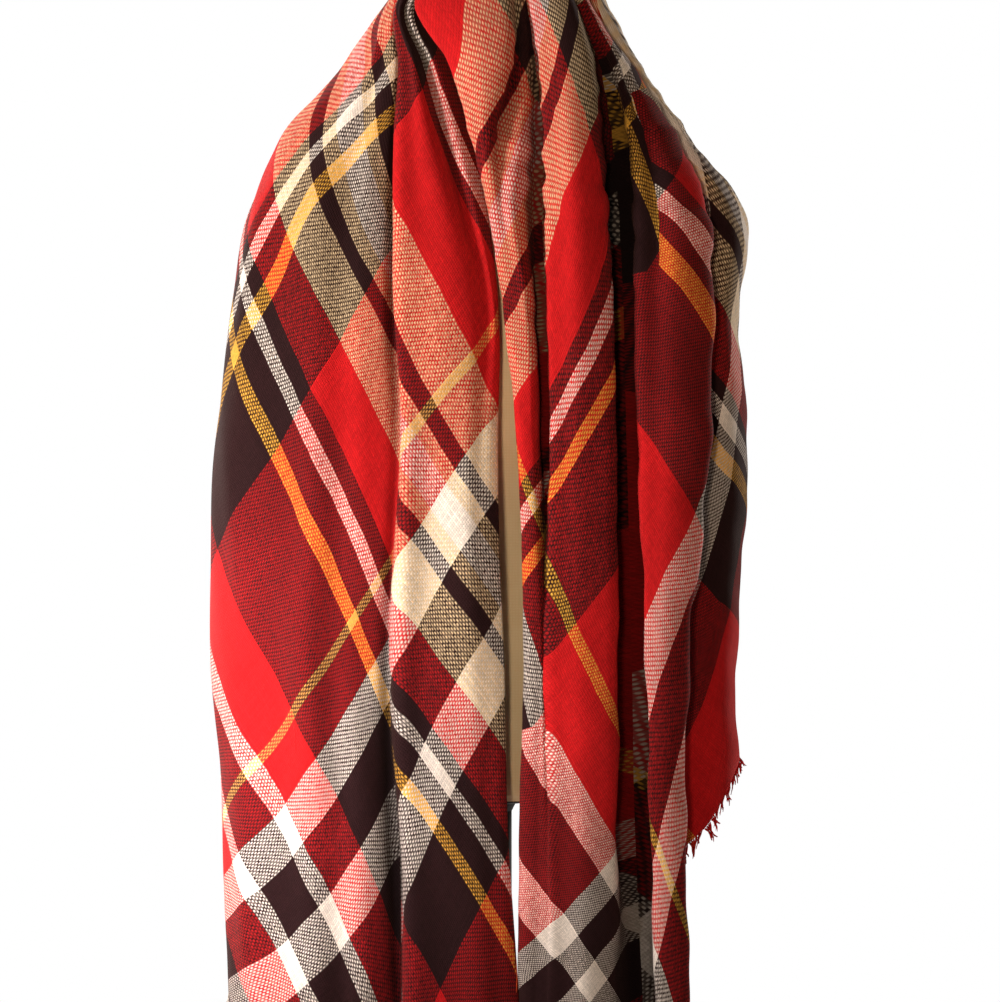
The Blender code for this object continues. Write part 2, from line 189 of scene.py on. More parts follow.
# Creases and soft swells pressed into the sheet: the fold line they follow, steps after it, half
# width in steps, and how far the cloth stands out at RELIEF_DROPS, in millimetres.
RELIEF_DROPS = (0, 120, 240, 400, 560, 720, 1000)
RELIEF = (
    ("right_valley", 0.0, 0.7, (-2, -12, -16, -18, -26, -18, 5)),
    ("right_main_lee", 0.2, 0.7, (0, 3, 3, 3, 3, 2, 1)),
    ("right_outer_brow", -0.2, 0.6, (0, 2, 3, 2, 1, 1, 1)),
    ("right_outer_crest", 0.9, 0.5, (-1, -4, -5, -1, 0, 0, 0)),
    ("right_cleft", 0.0, 0.8, (-2, -5, -6, -6, 8, 3, 0)),
    ("right_main_brow", 0.1, 0.6, (0, 2, 3, 3, 2, 0, 0)),
    ("right_main_crest", 1.0, 0.8, (0, -1, -2, -2, -1, -1, -2)),
    ("throat_groove", 0.0, 0.8, (0, -2, -1, 0, 0, 0, 0)),
    ("left_step", 0.3, 0.5, (-2, -6, -6, -4, -5, -5, -4)),
    ("left_step", -1.0, 0.8, (0, 2, 2, 3, 4, 3, 2)),
    ("left_red_crest", 1.4, 0.9, (0, -2, -3, -2, -3, -2, -3)),
    ("left_red_crest", -1.5, 1.0, (0, 2, 2, 3, 2, 3, 2)),
    ("left_panel_inner", 1.2, 1.0, (0, -2, -3, -4, -3, -4, -5)),
    ("left_panel_inner", 2.9, 0.9, (0, 2, 1, 3, 4, 2, 3)),
    ("left_panel_middle", 1.0, 1.0, (0, -1, -3, -2, -4, -3, -4)),
    ("left_panel_outer", 0.2, 0.9, (0, 1, 2, 3, 2, 4, 3)),
    ("left_flank", 0.6, 1.0, (0, -3, -3, -5, -4, -6, -6)),
    ("right_wing", 0.6, 0.9, (0, -1, 3, -3, -5, -4, -4)),
    ("right_flank", 0.4, 0.9, (0, -2, -4, -3, -4, -4, -4)),
)
# Slow unevenness of the whole sheet: waves for each metre round and down, turn, height in mm.
SWELLS = (
    (9.0, 2.0, 0.4, 0.8), (14.0, -3.5, 2.1, 0.6), (23.0, 2.5, 4.0, 0.4), (6.0, 5.0, 1.3, 0.5),
)
CALM_DROP = 150             # millimetres below the top edge over which the swells set in
CALM_COLUMNS = 20           # and columns of faces from the right tail's inner edge

# Stretches of the sheet, one for each solid of cloth: name, its first and last fold line.
STRETCHES = (
    ("left_tail", "left_tuck", "left_seam"),
    ("back_cape", "left_seam", "right_return"),
    ("right_tail", "right_return", "right_tuck"),
)

# ---------------------------------------------------------------- the tartan's tables
# The setts, from the middle of the pale band: yarn and width in chart units. Both ends mirror.
WEFT_SETT = (
    ("white", 8), ("cream", 18), ("black", 15), ("cream", 43), ("red", 55), ("black", 16),
    ("white", 16), ("black", 20), ("yellow", 17), ("black", 109), ("red", 257), ("white", 44),
    ("black", 54), ("white", 44), ("black", 78), ("red", 140),
)
# The weft of the right tail is the same but for narrower pale stripes.
RIGHT_WEFT_SETT = WEFT_SETT[:5] + (
    ("black", 17), ("white", 14), ("black", 23), ("yellow", 12), ("black", 112)) + WEFT_SETT[10:]
RIGHT_WARP_SETT = (
    ("white", 8), ("cream", 18), ("black", 15), ("cream", 43), ("red", 55), ("black", 15),
    ("white", 18), ("black", 16), ("yellow", 22), ("black", 107), ("red", 263), ("white", 32),
    ("black", 60), ("white", 44), ("black", 78), ("red", 140),
)
THIN_LINE = 521             # place of the thin line in the wide setts' red, from their start
LINE_IN_LEFT_WEFT = 9       # its width; the weft on the right tail has none
LINE_IN_RIGHT_WARP = 13
# The narrower sett of the warp on the left tail, and what lies beyond its pale band, at the neck.
LEFT_WARP_SETT = (
    ("white", 12), ("cream", 14), ("black", 15), ("cream", 43), ("red", 44), ("black", 16),
    ("white", 13), ("black", 21), ("yellow", 12), ("black", 79), ("red", 49), ("white", 17),
    ("black", 21),
)
NECK_WARP_SETT = (
    ("white", 12), ("cream", 14), ("black", 15), ("cream", 43), ("red", 66), ("black", 12),
    ("white", 15), ("black", 63), ("red", 100),
)
WIDE_START = 266            # place on the chart of the middle of the wide setts' pale band
NARROW_START = 184          # and of the narrow one's, whose places count from its yellow stripe

# The places that the cloth carries grow round the part in the warp and fall in the weft. The
# right tail's charts join the left tail's at a black stripe that lies on the back.
WARP_JOIN = 300
RIGHT_WARP_SHIFT = 680
WEFT_JOIN = 50
RIGHT_WEFT_SHIFT = -1440

# Panels of the cloth that a fold or its shadow parts: name, the fold line and the steps after it
# where it starts, the same where it ends, the drop down to which it reaches, and how much the
# warp and the weft places change for a step of one unit down. A later panel covers an earlier one.
TO_HEM = 2000
PANELS = (
    ("left_inner", ("left_tuck", 0), ("left_step", 0), TO_HEM, -0.62, 0.70),
    ("left_outer", ("left_step", 0), ("left_side", 0), TO_HEM, -0.55, 0.70),
    ("wing", ("right_wing", 0), ("right_tuck_root", 0), TO_HEM, -0.55, 0.30),
    ("outer_fold", ("right_tuck_root", 0), ("right_valley", 0), TO_HEM, -0.60, 0.40),
    ("outer_under", ("right_outer_crest", 0.75), ("right_valley", 0), 250, -0.60, 0.40),
    ("outer_under", ("right_outer_edge", 0), ("right_valley", 0), 116, -0.60, 0.40),
    ("main_fold", ("right_valley", 0), ("right_tuck", 0), TO_HEM, -0.55, 0.55),
    ("neck_fold", ("right_cleft", 0), ("right_tuck", 0), 520, -0.50, 0.50),
)

STIFFNESS = 40              # how hard the weave keeps its scale against the stripe courses
STIFFER_ROUND = 1.8         # times harder round the cloth than down it
STIFFER_BELOW = 4.0         # and times harder below the last course
LAST_COURSE = 1010          # on the chart
ROUND_UNIT = 80             # chart units round and down the cloth over which the fields bend
DOWN_UNIT = 400
COURSE_REACH = 4.0          # chart units from a course's point within which cloth is looked for

# Stripe courses on the front chart, for each panel: the place in the sett, and points (across,
# down) along it.
WARP_COURSES = {
    "left_outer": (
        (-201, (229, 831), (240, 869), (256, 884), (296, 969), (313, 1001)),
        (-144, (219, 700), (246, 767), (283, 815), (292, 854), (311, 908), (335, 934), (354, 969),
         (373, 1001)),
        (0, (248, 361), (263, 413), (280, 457), (307, 508), (334, 550), (361, 592), (372, 643),
         (386, 672), (391, 707)),
        (34, (246, 279), (257, 327), (277, 384), (299, 432), (334, 489), (361, 550), (376, 596),
         (393, 642)),
        (100, (300, 250), (340, 345), (360, 400), (380, 440), (400, 480)),
        (150, (323, 90), (322, 120), (325, 165), (335, 205), (350, 250), (370, 300), (385, 350)),
        (184, (345, 120), (355, 150), (365, 175), (375, 210), (385, 240), (393, 260)),
        (216, (373, 45), (378, 70), (383, 100), (390, 140)),
    ),
    "left_inner": (
        (150, (410, 505), (430, 540), (447, 584), (495, 640)),
        (184, (410, 440), (430, 470), (450, 510), (470, 540), (485, 560)),
        (216, (403, 330), (433, 393), (475, 460), (500, 499)),
        (268, (397, 225), (415, 268), (434, 304), (455, 343), (480, 392)),
        (353, (418, 20), (424, 50), (431, 80), (442, 120), (453, 150), (464, 185), (474, 218)),
        (34, (401, 720), (416, 758), (470, 840), (510, 880)),
        (0, (399, 777), (450, 860), (510, 930)),
    ),
    "outer_under": (
        (429, (614, 42), (625, 60), (633, 78), (645, 110), (653, 130), (659, 150)),
        (465, (620, 112), (632, 145), (645, 172), (655, 198)),
    ),
    "outer_fold": (
        (376, (692, 140), (700, 155), (708, 172)),
        (429, (665, 203), (680, 228), (695, 256), (706, 280)),
        (465, (655, 255), (670, 272), (690, 302), (706, 322)),
        (583, (632, 390), (655, 420), (680, 450), (700, 475)),
        (787, (654, 866), (665, 880), (678, 895)),
        (840, (651, 940), (668, 968), (688, 990)),
    ),
    "main_fold": (
        (465, (588, 0), (596, 16), (604, 32)),
        (583, (560, 30), (575, 52), (590, 110), (600, 150), (610, 185)),
        (787, (548, 600), (560, 625), (580, 658), (600, 688), (618, 715)),
        (840, (527, 682), (532, 693), (540, 712), (552, 745), (580, 780), (600, 805), (617, 830)),
        (884, (524, 730), (536, 765), (548, 800), (570, 838), (598, 862)),
        (938, (522, 850), (536, 868), (550, 888), (562, 905), (580, 935), (600, 962), (612, 980)),
        (982, (521, 900), (535, 925), (552, 958), (575, 990)),
    ),
    "neck_fold": (
        (787, (522, 465), (532, 490), (548, 535)),
    ),
    "wing": (
        (299, (712, 212), (722, 221), (733, 232)),
        (350, (716, 296), (736, 306)),
        (429, (716, 405), (730, 420), (742, 436)),
        (465, (712, 450), (725, 462), (735, 475)),
        (583, (708, 585), (735, 610)),
        (760, (700, 815), (728, 835)),
    ),
}
WEFT_COURSES = {
    "left_outer": (
        (382, (330, 84), (297, 125), (275, 165)),
        (429, (250, 260), (290, 190), (345, 120), (380, 75)),
        (465, (265, 290), (300, 230), (345, 170), (380, 125), (395, 110)),
        (787, (395, 528), (372, 563), (359, 611), (315, 672), (282, 720), (248, 777), (229, 800)),
        (862, (387, 678), (353, 739), (299, 800), (232, 900)),
        (960, (391, 882), (324, 920), (263, 972), (233, 987)),
    ),
    "left_inner": (
        (583, (402, 116), (412, 108), (422, 98)),
        (787, (489, 307), (466, 351), (439, 397), (410, 437)),
        (862, (500, 475), (430, 537), (410, 557), (399, 640)),
        (960, (500, 653), (477, 691), (430, 758)),
    ),
    "outer_under": (
        (429, (617, 64), (632, 52)),
        (465, (633, 96), (648, 86)),
    ),
    "outer_fold": (
        (583, (645, 225), (652, 208), (660, 190), (670, 172), (680, 150), (690, 130)),
        (627, (700, 212), (706, 200)),
        (840, (700, 480), (680, 530), (660, 580), (640, 630)),
        (884, (708, 530), (690, 600), (672, 650), (650, 692)),
        (938, (682, 790), (665, 820), (652, 850)),
        (982, (680, 882), (668, 902), (655, 918)),
    ),
    "main_fold": (
        (270, (548, 6), (538, 40)),
        (300, (564, 44), (550, 74)),
        (350, (590, 140), (565, 190), (551, 240)),
        (405, (585, 300), (570, 325), (556, 345)),
        (429, (612, 292), (600, 320), (588, 347), (573, 378), (557, 405)),
        (465, (618, 350), (606, 380), (597, 400), (586, 420), (572, 445), (560, 470), (551, 488)),
        (583, (622, 572), (605, 598), (590, 620), (575, 640), (545, 685), (530, 695)),
        (840, (600, 862), (575, 890), (560, 905), (535, 925)),
        (884, (612, 885), (590, 925), (575, 940), (550, 960)),
    ),
    "neck_fold": (
        (182, (468, 12), (460, 50), (458, 85)),
        (232, (524, 55), (508, 110), (486, 165)),
        (270, (530, 150), (512, 190), (498, 235)),
        (300, (536, 238), (520, 262), (508, 290)),
        (350, (540, 345), (522, 385)),
        (429, (548, 490), (530, 505), (516, 519)),
        (465, (548, 540), (535, 550), (525, 560)),
    ),
    "wing": (
        (890, (694, 150), (708, 172), (722, 192)),
        (911, (735, 250), (733, 290), (725, 345)),
        (938, (746, 232), (746, 290), (739, 330)),
        (960, (741, 345), (733, 385), (728, 420), (722, 465), (714, 500), (706, 530)),
        (1060, (732, 650), (715, 680), (700, 700), (686, 740)),
    ),
}


# ---------------------------------------------------------------- the drape's form
def unit(vectors):
    return vectors / np.linalg.norm(vectors, axis=-1, keepdims=True)


def curve_through(knots, points, where):
    """Smooth curve through the points at growing knots, read at each place in where."""
    knots = np.asarray(knots, float)
    points = np.asarray(points, float)
    gaps = np.diff(knots)
    column = (-1,) + (1,) * (points.ndim - 1)
    slopes = np.diff(points, axis=0) / gaps.reshape(column)
    tangents = np.empty_like(points)
    tangents[0] = slopes[0]
    tangents[-1] = slopes[-1]
    before, after = gaps[:-1].reshape(column), gaps[1:].reshape(column)
    tangents[1:-1] = (after * slopes[:-1] + before * slopes[1:]) / (before + after)
    where = np.clip(where, knots[0], knots[-1])
    i = np.clip(np.searchsorted(knots, where, side="right") - 1, 0, len(gaps) - 1)
    gap = gaps[i].reshape(column)
    t = ((where - knots[i]) / gaps[i]).reshape(column)
    start = (1 + 2 * t) * (1 - t) ** 2 * points[i] + t * (1 - t) ** 2 * gap * tangents[i]
    end = t * t * (3 - 2 * t) * points[i + 1] + t * t * (t - 1) * gap * tangents[i + 1]
    return start + end


def fold_line_points(line, shares):
    """Points down one fold line, at shares of the way from the neck to the hem."""
    _, across, front, hem, _ = line
    drops = shares * hem
    x = curve_through(X_DROPS, across, drops)
    y = curve_through(FRONT_DROPS, front, drops)
    return np.stack([FORM_X + x * MM, -y * MM, NECK_TOP - drops * MM], axis=1)


def first_step(name):
    """Steps from the left tail's inner edge, round the cloth, to a fold line."""
    return sum(line[4] for line in FOLD_LINES[:LINE_NAMES.index(name)])


def first_column(name):
    return first_step(name) * FINER


def back_fold_depths(steps, share):
    depths = np.zeros(len(steps))
    for name, offset, half_width, at_hem in BACK_FOLDS:
        away = (steps - first_step(name) - offset) / half_width
        depths += at_hem * MM * share ** BACK_FOLD_GROWTH * np.exp(-away * away)
    return depths


def relief_depths(grid, steps):
    """How far the creases and swells stand out of the sheet at each of its points."""
    drops = (NECK_TOP - grid[..., 2]) / MM
    depths = np.zeros(drops.shape)
    for name, offset, half_width, heights in RELIEF:
        away = (steps - first_step(name) - offset) / half_width
        depths += np.interp(drops, RELIEF_DROPS, heights) * np.exp(-away * away)
    way = np.linalg.norm(np.diff(grid, axis=1), axis=2)
    round_way = np.concatenate([np.zeros((len(grid), 1)), np.cumsum(way, axis=1)], axis=1)
    columns_left = len(steps) - 1 - np.arange(len(steps))
    calm = np.clip(drops / CALM_DROP, 0, 1) * np.clip(columns_left / CALM_COLUMNS, 0, 1)
    for waves_round, waves_down, turn, height in SWELLS:
        phase = 2 * math.pi * (waves_round * round_way + waves_down * drops * MM) + turn
        depths += height * np.sin(phase) * calm
    return depths * MM


def drape_grid():
    """Rows of points from the top edge to the hem: the plain sheet, and the sheet with its creases."""
    shares = np.linspace(0.0, 1.0, CLOTH_ROWS + 1) ** ROW_SPREAD
    lines = np.array([fold_line_points(line, shares) for line in FOLD_LINES])
    last_step = first_step(LINE_NAMES[-1])
    steps = np.arange(last_step * FINER + 1) / FINER
    line_steps = np.array([first_step(name) for name in LINE_NAMES], float)
    rows = []
    for r, share in enumerate(shares):
        points = lines[:, r]
        spans = np.linalg.norm(np.diff(points, axis=0), axis=1) ** KNOT_POWER
        knots = np.concatenate([[0.0], np.cumsum(spans)])
        row = curve_through(knots, points, np.interp(steps, line_steps, knots))
        outward = row - np.array([FORM_X, 0.0, 0.0])
        outward[:, 2] = 0.0
        rows.append(row + unit(outward) * back_fold_depths(steps, share)[:, None])
    grid = np.array(rows)
    outward = np.cross(np.gradient(grid, axis=1), np.gradient(grid, axis=0))
    return grid, grid + unit(outward) * relief_depths(grid, steps)[..., None]


def hollows(grid):
    """How deep each point lies in a narrow groove, which sets the painted shade of the cloth there: 0
    on open cloth, 1 at GROOVE_DEPTH or more.
    """
    reach = GROOVE_STEPS * FINER // 2
    padded = np.concatenate([grid[:, :1]] * reach + [grid] + [grid[:, -1:]] * reach, axis=1)
    columns = grid.shape[1]
    bridged = sum(padded[:, i:i + columns] for i in range(2 * reach + 1)) / (2 * reach + 1)
    outward = unit(np.cross(np.gradient(bridged, axis=1), np.gradient(bridged, axis=0)))
    return np.clip(((bridged - grid) * outward).sum(axis=-1) / GROOVE_DEPTH, 0, 1)


# ---------------------------------------------------------------- the tartan's courses
def chart_place(points):
    """Where the camera sees points on the front chart: across and down."""
    scale = CAMERA_DISTANCE / (CAMERA_DISTANCE + points[..., 1] - FRONT_PLANE) / CHART_UNIT
    across = CHART_MIDDLE[0] + (points[..., 0] - FORM_X) * scale
    down = CHART_MIDDLE[1] + (CAMERA_HEIGHT - points[..., 2]) * scale
    return across, down


def way_round(grid):
    """Length of the way round the cloth to each point of it, straight over the narrow cleft."""
    lengths = np.linalg.norm(np.diff(grid, axis=1), axis=2)
    cleft = slice(first_column("right_main_brow"), first_column("right_inner_crest"))
    lengths[:, cleft] = np.abs(np.diff(grid[..., 0], axis=1))[:, cleft]
    return np.concatenate([np.zeros((len(grid), 1)), np.cumsum(lengths, axis=1)], axis=1)


def fitted_places(panel_grid, round_way, courses, down_rate):
    """Place in the sett over a panel of the cloth: a smooth field through its stripe courses."""
    middle = panel_grid.shape[1] // 2
    round_way = (round_way - round_way[:, middle:middle + 1]) / CHART_UNIT
    across, down = chart_place(panel_grid)
    drop = (NECK_TOP - panel_grid[..., 2]) / CHART_UNIT
    base = down_rate * drop - round_way

    # The field is the base and eight terms in the way round, u, and the way down, v.
    u, v = round_way / ROUND_UNIT, drop / DOWN_UNIT - 1
    one, none = np.ones_like(u), np.zeros_like(u)
    terms = np.stack([one, u, v, u * v, v * v, u * u, v ** 3, u * v * v], axis=-1)
    round_slopes = np.stack([none, one, none, v, none, 2 * u, none, v * v], axis=-1) / ROUND_UNIT
    down_slopes = np.stack([none, none, one, u, 2 * v, none, 3 * v * v, 2 * u * v], axis=-1) / DOWN_UNIT
    rows, wanted = [], []
    for place, points in courses:
        for x, y in points:
            distance = np.hypot(across - x, down - y)
            close = distance < max(COURSE_REACH, distance.min() + 1)
            front = np.where(close, panel_grid[..., 1], np.inf)
            at = np.unravel_index(np.argmin(front), front.shape)
            slip = (across[at] - x) + down_rate * (down[at] - y)
            rows.append(terms[at])
            wanted.append(place + slip - base[at])

    # The weave is neither stretched nor squeezed anywhere more than the courses ask for, and least
    # of all below the last of them. Every tenth row and third column are enough to tell.
    hold = np.where(down > LAST_COURSE, STIFFER_BELOW, 1.0)[..., None]
    stiff = np.concatenate([(slopes * hold)[::10, ::3].reshape(-1, terms.shape[-1])
                            for slopes in (round_slopes * STIFFER_ROUND, down_slopes)])
    rows = np.concatenate([rows, stiff * STIFFNESS / math.sqrt(len(stiff))])
    wanted = np.concatenate([wanted, np.zeros(len(stiff))])
    weights = np.linalg.lstsq(rows, wanted, rcond=None)[0]
    return base + terms @ weights


def sett_places(grid):
    """Warp and weft places of every vertex, for each panel: first and last column, rows, places."""
    fields = []
    round_way = way_round(grid)
    drops = (NECK_TOP - grid[..., 2].mean(axis=1)) / MM
    for name, first, last, reach, warp_rate, weft_rate in PANELS:
        start, end = (first_column(line) + round(steps * FINER) for line, steps in (first, last))
        part, way = grid[:, start:end + 1], round_way[:, start:end + 1]
        on_right = not name.startswith("left")
        side = -1 if on_right else 1
        warp = [(side * place, points) for place, *points in WARP_COURSES[name]]
        weft = [(place, points) for place, *points in WEFT_COURSES[name]]
        warp_places = -fitted_places(part, way, warp, warp_rate)
        weft_places = fitted_places(part, way, weft, weft_rate)
        if on_right:
            warp_places += RIGHT_WARP_SHIFT
            weft_places += RIGHT_WEFT_SHIFT
        rows = int((drops < reach).sum()) - 1
        fields.append((start, end, rows, np.stack([warp_places, weft_places], axis=-1)))

    # Over the back the places change evenly, from the left tail's to the wing's.
    (_, last_left, _, left_places), (first_wing, _, _, wing_places) = fields[1], fields[2]
    way = np.linalg.norm(np.diff(grid[:, last_left:first_wing + 1], axis=1), axis=2)
    share = np.concatenate([np.zeros((len(grid), 1)), np.cumsum(way, axis=1)], axis=1)
    share = (share / share[:, -1:])[..., None]
    places = left_places[:, -1:] * (1 - share) + wing_places[:, :1] * share
    fields.insert(2, (last_left, first_wing, len(grid) - 1, places))
    return fields


# ---------------------------------------------------------------- materials
def add_node(tree, kind, inputs=(), output=0, **settings):
    """Adds a shader node with its settings, sets or links its inputs, and returns one output.

    The inputs are a tuple in the order of the node's sockets, or a dict from socket to value.
    """
    node = tree.nodes.new("ShaderNode" + kind)
    for setting, value in settings.items():
        setattr(node, setting, value)
    for key, value in inputs.items() if isinstance(inputs, dict) else enumerate(inputs):
        if isinstance(value, bpy.types.NodeSocket):
            tree.links.new(value, node.inputs[key])
        else:
            node.inputs[key].default_value = value
    return node.outputs[output]


BLEND = {"output": 2, "data_type": "RGBA"}      # a Mix node that mixes two colours
SMOOTH = {"interpolation_type": "SMOOTHSTEP"}   # a Map Range node without sharp ends


def linear(hex_colour):
    """Linear colour for an sRGB one given as six hex digits."""
    parts = [int(hex_colour[i:i + 2], 16) / 255 for i in (0, 2, 4)]
    bent = [c / 12.92 if c <= 0.04045 else ((c + 0.055) / 1.055) ** 2.4 for c in parts]
    return (*bent, 1.0)


def new_material(name, **sockets):
    """A material with the given values on its shader's own sockets: itself, its tree, the shader."""
    material = bpy.data.materials.new(name)
    material.use_nodes = True
    shader = material.node_tree.nodes["Principled BSDF"]
    for key, value in sockets.items():
        shader.inputs[key.replace("_", " ")].default_value = value
    return material, material.node_tree, shader


def finish_surface(tree, shader, colour, height, strength, depth):
    """Gives a shader its colour, and a relief of that height pattern, as deep as given in metres."""
    tree.links.new(colour, shader.inputs["Base Color"])
    relief = add_node(tree, "Bump", {"Height": height, "Strength": strength, "Distance": depth},
                      "Normal")
    tree.links.new(relief, shader.inputs["Normal"])


WAVE_SPAN = math.pi / 10    # metres from band to band of a wave pattern at scale 1

# Dyed acrylic yarns: warm reds, a black with some brown in it, and two pale ones.
YARNS = {
    "red": linear("C81A1E"),
    "black": linear("281416"),
    "white": linear("F6EAE0"),
    "cream": linear("E8CCA4"),
    "yellow": linear("F0B348"),
    "ochre": linear("E8A85A"),
}
UV_UNITS = 1000.0           # chart units for each unit of the weave's UV map
WEAVE_SPAN = UV_UNITS * CHART_UNIT
PITCH = YARN_PITCH * MM / CHART_UNIT
SWAY_LENGTH = 35.8          # millimetres over which a yarn wanders once from its straight line
SWAY = 3.5                  # chart units that it wanders at most
FIBRE_LENGTH = 0.875        # millimetres of a tuft of loose fibre
WEAR_LENGTH = 87.5          # millimetres of a rubbed patch
TONE_STEP = 0.08            # difference in tone at which one yarn is clearly the paler of two
DARK, PALE = 0.1, 0.5       # tones of the paler yarn of a crossing: red on black, white on any
# What the cloth shows at those two tones of a crossing, in that order.
SKEW_SHARE = (0.3, 1.0)     # share of YARN_SKEW
WEAVE_SHARE = (0.22, 0.38)  # share of the colour that the weave turns from one yarn to the other
DARK_SHARE = (0.19, 0.03)   # how much more than half of a crossing the darker yarn covers
YARN_FALL = 2.85            # how steeply a yarn's round form falls off to its sides
YARN_SKEW = 2.15            # how much steeper than that the paler of two falls off
FLOAT_HUM = 0.09            # how much more or less one float covers than the next


def with_line(sett, line, line_width):
    """A wide sett with a thin line of that yarn and width in its red."""
    stripes, edge = [], 0.0
    for yarn, width in sett:
        if edge < THIN_LINE < edge + width:
            before = THIN_LINE - edge - line_width / 2
            stripes += [(yarn, before), (line, line_width), (yarn, width - before - line_width)]
        else:
            stripes.append((yarn, width))
        edge += width
    return stripes


def sett_colour(tree, place, sett, start):
    """Colour of the yarn at a place, in a sett that is mirrored at both of its ends."""
    total = sum(width for _, width in sett)
    from_start = add_node(tree, "Math", (place, start), operation="SUBTRACT")
    counted = add_node(tree, "Math", (from_start, total), operation="PINGPONG")
    share = add_node(tree, "Math", (counted, total), operation="DIVIDE")
    colour = add_node(tree, "ValToRGB", (share,))
    stripes = colour.node.color_ramp
    stripes.interpolation = "CONSTANT"
    edge = 0.0
    for i, (yarn, width) in enumerate(sett):
        stop = stripes.elements[0] if i == 0 else stripes.elements.new(edge / total)
        stop.position = edge / total
        stop.color = YARNS[yarn]
        edge += width
    stripes.elements[len(sett)].position = 1.0
    stripes.elements[len(sett)].color = YARNS[sett[-1][0]]
    return colour


def yarn_count(tree, weave, axis, offset):
    """Which yarn of one set covers a spot, its middle, how far the spot is from it, and the wave
    that the yarn makes as it goes over and under."""
    moved = add_node(tree, "VectorMath", (weave, (offset, offset, 0.0)))
    wander = add_node(tree, "TexNoise", {"Vector": moved, "Scale": WEAVE_SPAN / (SWAY_LENGTH * MM),
                                         "Detail": 3.0})
    centred = add_node(tree, "Math", (wander, 0.5), operation="SUBTRACT")
    sway = add_node(tree, "Math", (centred, SWAY), operation="MULTIPLY")
    across = add_node(tree, "SeparateXYZ", (weave,), axis)
    place = add_node(tree, "Math", (across, UV_UNITS, sway), operation="MULTIPLY_ADD")
    yarns = add_node(tree, "Math", (place, PITCH), operation="DIVIDE")
    number = add_node(tree, "Math", (yarns,), operation="FLOOR")
    within = add_node(tree, "Math", (yarns, number), operation="SUBTRACT")
    from_middle = add_node(tree, "Math", (within, 0.5), operation="SUBTRACT")
    next_middle = add_node(tree, "Math", (number, 0.5), operation="ADD")
    middle = add_node(tree, "Math", (next_middle, PITCH), operation="MULTIPLY")
    turn = add_node(tree, "Math", (yarns, math.pi), operation="MULTIPLY")
    wave = add_node(tree, "Math", (turn,), operation="SINE")
    return number, middle, from_middle, wave


def warp_and_weft_colours(tree, warp, weft):
    """Colours of the yarns at those places, by the setts of the left tail, the neck and the right
    tail, which change where the cloth lies behind the neck and on the back."""
    left_count = add_node(tree, "Math", (warp, -1.0), operation="MULTIPLY")
    low_warp = sett_colour(tree, left_count, LEFT_WARP_SETT, NARROW_START)
    neck_warp = sett_colour(tree, left_count, NECK_WARP_SETT, NARROW_START)
    at_neck = add_node(tree, "Math", (left_count, NARROW_START), operation="GREATER_THAN")
    left_warp = add_node(tree, "Mix", {0: at_neck, 6: low_warp, 7: neck_warp}, **BLEND)
    right_warp = sett_colour(tree, warp, with_line(RIGHT_WARP_SETT, "yellow", LINE_IN_RIGHT_WARP),
                             WIDE_START + RIGHT_WARP_SHIFT)
    on_right = add_node(tree, "Math", (warp, WARP_JOIN), operation="GREATER_THAN")
    warp_colour = add_node(tree, "Mix", {0: on_right, 6: left_warp, 7: right_warp}, **BLEND)
    left_weft = sett_colour(tree, weft, with_line(WEFT_SETT, "ochre", LINE_IN_LEFT_WEFT), WIDE_START)
    right_weft = sett_colour(tree, weft, RIGHT_WEFT_SETT, WIDE_START + RIGHT_WEFT_SHIFT)
    past_join = add_node(tree, "Math", (weft, WEFT_JOIN), operation="LESS_THAN")
    weft_colour = add_node(tree, "Mix", {0: past_join, 6: left_weft, 7: right_weft}, **BLEND)
    return warp_colour, weft_colour


